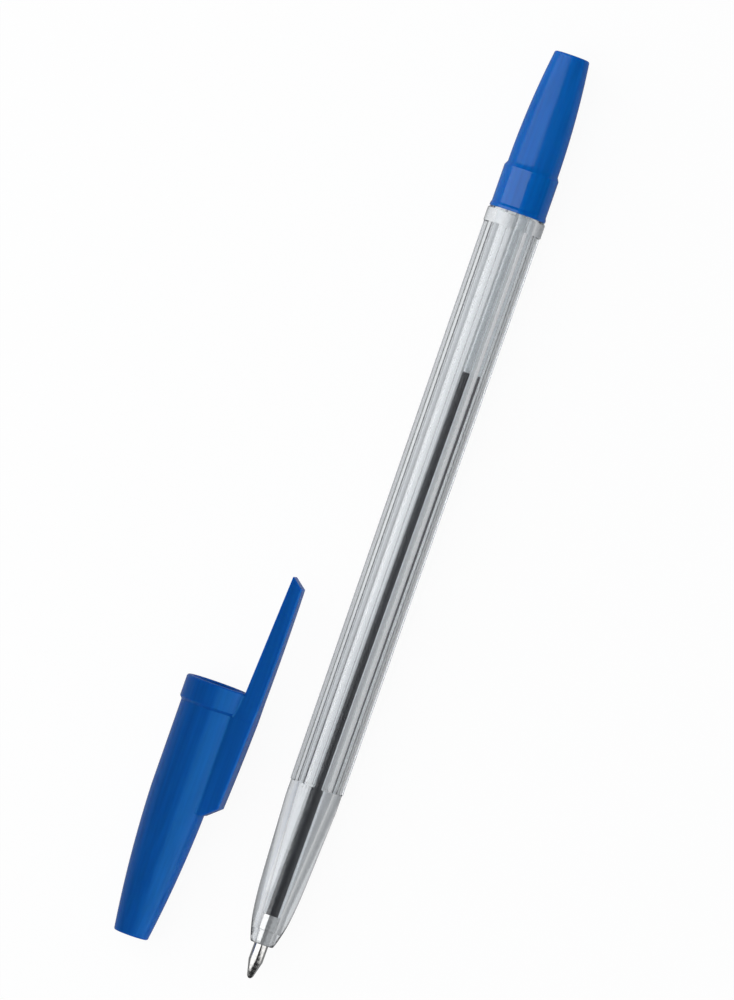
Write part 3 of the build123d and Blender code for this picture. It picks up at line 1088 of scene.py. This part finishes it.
class PEN_OT_stage(bpy.types.Operator):
    """Builds the floor, the studio light and the camera"""
    bl_idname = "pen.stage"
    bl_label = "Stage"

    # Each lamp's place and size in metres, its power in watts and the pieces that it lights
    SOFTBOXES = {
        "softbox_left": (
            (-0.40, 0.0, 0.34), (0.6, 1.1), 3.6,
            ("tail_plug", "ink", "turned_point", "writing_ball", "studio_floor"),
        ),
        "softbox_low": ((-0.50, 0.0, 0.17), (0.3, 1.1), 1.9, ("clear_barrel", "ink_tube")),
        "softbox_right": ((0.40, 0.0, 0.34), (0.6, 1.1), 2.8, ("clip_cap",)),
        "softbox_point": ((0.47, 0.0, 0.22), (0.4, 1.1), 2.2, ("turned_point",)),
        "fill_right": ((0.40, 0.0, 0.34), (0.6, 1.1), 1.6, ("tail_plug",)),
    }

    def execute(self, context):
        scene = context.scene
        stage = scene.pen_stage
        self.floor(scene, stage)
        self.surround(scene)
        self.softboxes(scene)
        self.camera(scene, stage)
        scene.view_settings.view_transform = "Standard"
        return {"FINISHED"}

    def floor(self, scene, stage):
        """A wide sheet of paper under the object."""
        half = stage.floor_size / 2
        mesh = bpy.data.meshes.new("studio_floor")
        corners = [(-half, -half, 0), (half, -half, 0), (half, half, 0), (-half, half, 0)]
        mesh.from_pydata(corners, [], [(0, 1, 2, 3)])
        mesh.materials.append(studio_paper(scene.pen_colours, stage, pen_place().translation.x))
        floor = bpy.data.objects.new("studio_floor", mesh)
        scene.collection.objects.link(floor)

    def surround(self, scene):
        """The room: pale on the left and darker on the right. Polished pieces mirror it dimly, and seen
        through clear plastic it is paler on the right instead."""
        world = bpy.data.worlds.new("studio_surround")
        world.use_nodes = True
        tree = world.node_tree
        tree.nodes.clear()
        direction = add(tree, "ShaderNodeTexCoord")
        split = add(tree, "ShaderNodeSeparateXYZ", None, {0: direction.outputs["Generated"]})
        tone = add(
            tree, "ShaderNodeMapRange",
            {
                "interpolation_type": "SMOOTHSTEP",
                "From Min": -0.8, "From Max": 0.8, "To Min": 0.6, "To Max": 0.38,
            },
            {"Value": split.outputs[0]},
        )
        path = add(tree, "ShaderNodeLightPath")
        dimmed = add(
            tree, "ShaderNodeMapRange", {"To Min": 1.0, "To Max": 0.08},
            {"Value": path.outputs["Is Glossy Ray"]},
        )
        mirrored = add(
            tree, "ShaderNodeMath", {"operation": "MULTIPLY"},
            {0: tone.outputs["Result"], 1: dimmed.outputs["Result"]},
        )
        refracted = add(
            tree, "ShaderNodeMapRange", {"From Min": 0.2, "From Max": 0.55, "To Min": 0.42, "To Max": 0.8},
            {"Value": split.outputs[0]},
        )
        level = add(
            tree, "ShaderNodeMix", {"data_type": "FLOAT"},
            {0: path.outputs["Is Transmission Ray"], 2: mirrored.outputs[0], 3: refracted.outputs["Result"]},
        )
        light = add(
            tree, "ShaderNodeBackground", {"Color": (*scene.pen_colours.room, 1)},
            {"Strength": level.outputs[0]},
        )
        add(tree, "ShaderNodeOutputWorld", None, {"Surface": light.outputs[0]})
        scene.world = world

    def softboxes(self, scene):
        """A large soft lamp on the left, a lower one for the clear pieces, lamps on the right for the cap and
        the point, and a fill that adds no highlight to the plug."""
        for name, (position, size, power, lit) in self.SOFTBOXES.items():
            lamp = self.softbox(scene, name, Vector(position), size, power)
            receivers = bpy.data.collections.new(name + "_receivers")
            for piece in lit:
                receivers.objects.link(scene.objects[piece])
            lamp.light_linking.receiver_collection = receivers
            lamp.visible_glossy = name != "fill_right"

    def softbox(self, scene, name, position, size, power):
        """A rectangular lamp that faces the object."""
        lamp = bpy.data.lights.new(name, "AREA")
        lamp.shape = "RECTANGLE"
        lamp.size, lamp.size_y = size
        lamp.energy = power
        thing = bpy.data.objects.new(name, lamp)
        thing.location = position
        thing.rotation_euler = position.to_track_quat("Z", "Y").to_euler()
        scene.collection.objects.link(thing)
        return thing

    def camera(self, scene, stage):
        """A long lens nearly straight above, turned so that the pen leans to the right."""
        backward = Vector((-math.sin(stage.camera_tilt), 0, math.cos(stage.camera_tilt)))
        along = Vector((0, 1, 0))
        right = along.cross(backward)
        axis = pen_place().translation
        aim = axis + along * stage.aim_station - right * stage.aim_left
        turn = Matrix((right, along, backward)).transposed().to_4x4()
        lens = bpy.data.cameras.new("camera")
        lens.sensor_width = SENSOR
        lens.lens = SENSOR * stage.camera_distance / stage.frame_height
        lens.clip_start = 0.01
        camera = bpy.data.objects.new("camera", lens)
        camera.matrix_world = (
            Matrix.Translation(aim + backward * stage.camera_distance)
            @ turn @ Matrix.Rotation(stage.camera_roll, 4, "Z")
        )
        scene.collection.objects.link(camera)
        scene.camera = camera


OPERATORS = (PEN_OT_barrel, PEN_OT_refill, PEN_OT_plug, PEN_OT_cap, PEN_OT_stage)


class PEN_PT_sidebar(bpy.types.Panel):
    """Lists the pen's sizes, colours and pieces"""
    bl_idname = "PEN_PT_sidebar"
    bl_label = "Stick Ballpoint Pen"
    bl_space_type = "VIEW_3D"
    bl_region_type = "UI"
    bl_category = "Pen"

    def draw(self, context):
        for operator in OPERATORS:
            self.layout.operator(operator.bl_idname)
        for name, group in SETTINGS.items():
            box = self.layout.box()
            box.label(text=group.__doc__)
            for prop in group.__annotations__:
                box.prop(getattr(context.scene, name), prop)


CLASSES = (*SETTINGS.values(), *OPERATORS, PEN_PT_sidebar)


def register():
    for cls in CLASSES:
        bpy.utils.register_class(cls)
    for name, group in SETTINGS.items():
        setattr(bpy.types.Scene, name, bpy.props.PointerProperty(type=group))


def unregister():
    for name in SETTINGS:
        delattr(bpy.types.Scene, name)
    for cls in reversed(CLASSES):
        bpy.utils.unregister_class(cls)


def main():
    register()
    bpy.ops.pen.barrel()
    bpy.ops.pen.refill()
    bpy.ops.pen.plug()
    bpy.ops.pen.cap()
    bpy.ops.pen.stage()


if __name__ == "__main__":
    main()
